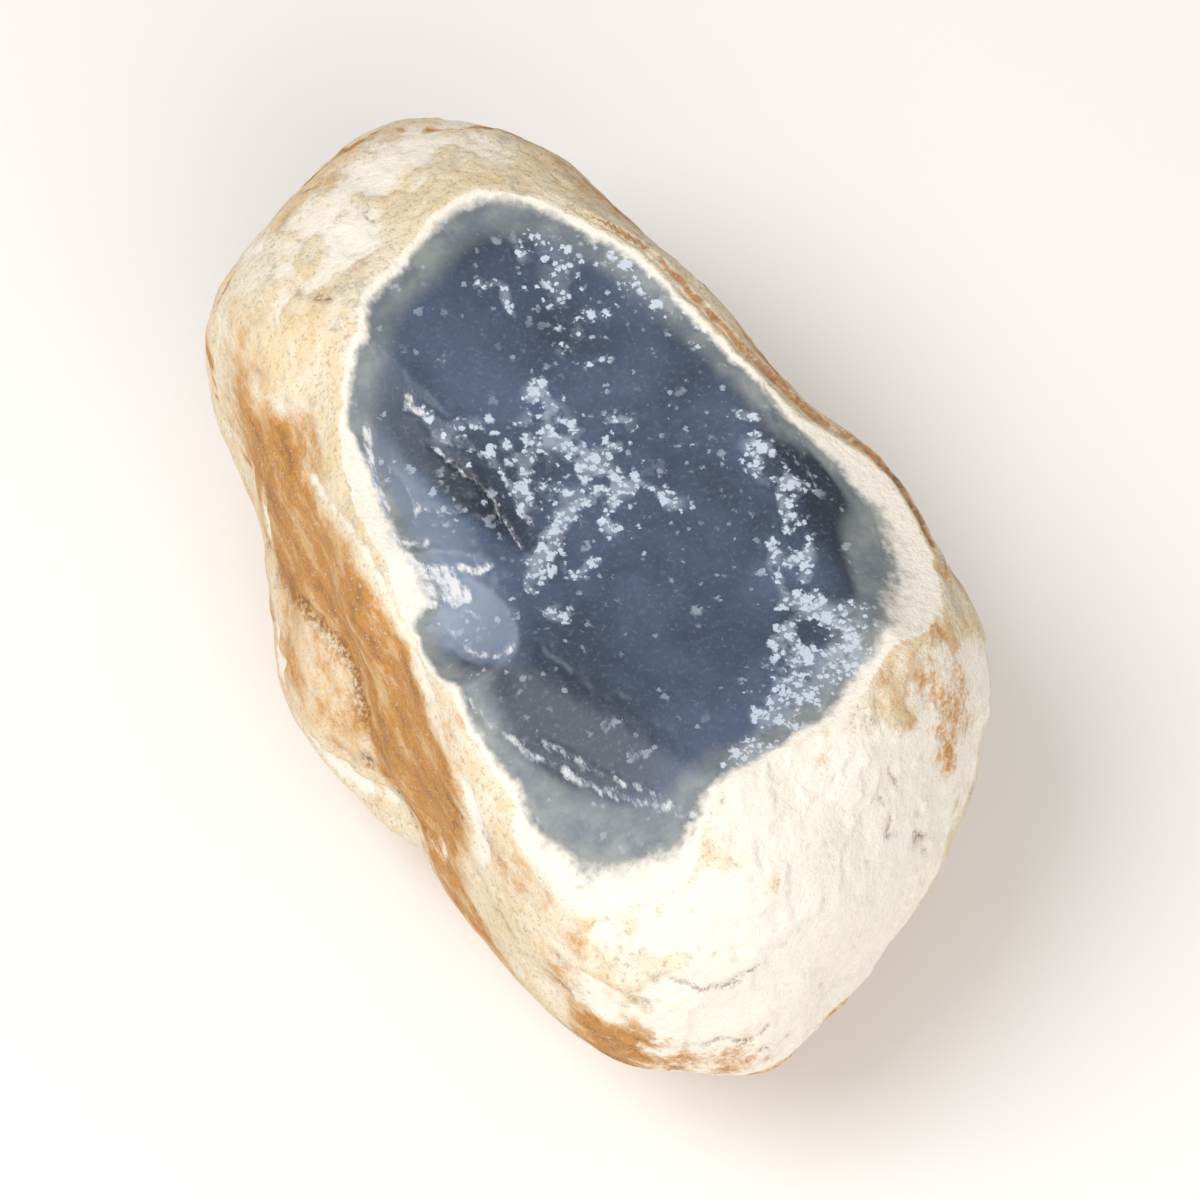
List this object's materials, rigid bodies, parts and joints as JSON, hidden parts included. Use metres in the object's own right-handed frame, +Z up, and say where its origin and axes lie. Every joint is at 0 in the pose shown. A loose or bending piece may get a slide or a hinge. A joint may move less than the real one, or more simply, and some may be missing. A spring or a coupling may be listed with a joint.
{
  "type": "blue chalcedony nodule",
  "caption": "Elongated rough chalcedony nodule with a cream chalky rind, broken open on top to a blue, shell-scarred window; it lies on a small flat spot.",
  "frame": {"origin": "middle of the bounding box, on the surface that the nodule lies on", "axes": "+Z up with the broken blue window facing up; +Y along the nodule's long axis, from its blunt near end to its narrower far end; +X to the right when looking along +Y"},
  "size_m": [0.037, 0.0612, 0.0301],
  "materials": {
    "nodule": "Matt chalky cream rind with ochre stains; satin blue-grey chalcedony in the window"
  },
  "bodies": {
    "root": {"nodule": "nodule"}
  },
  "joints": []
}
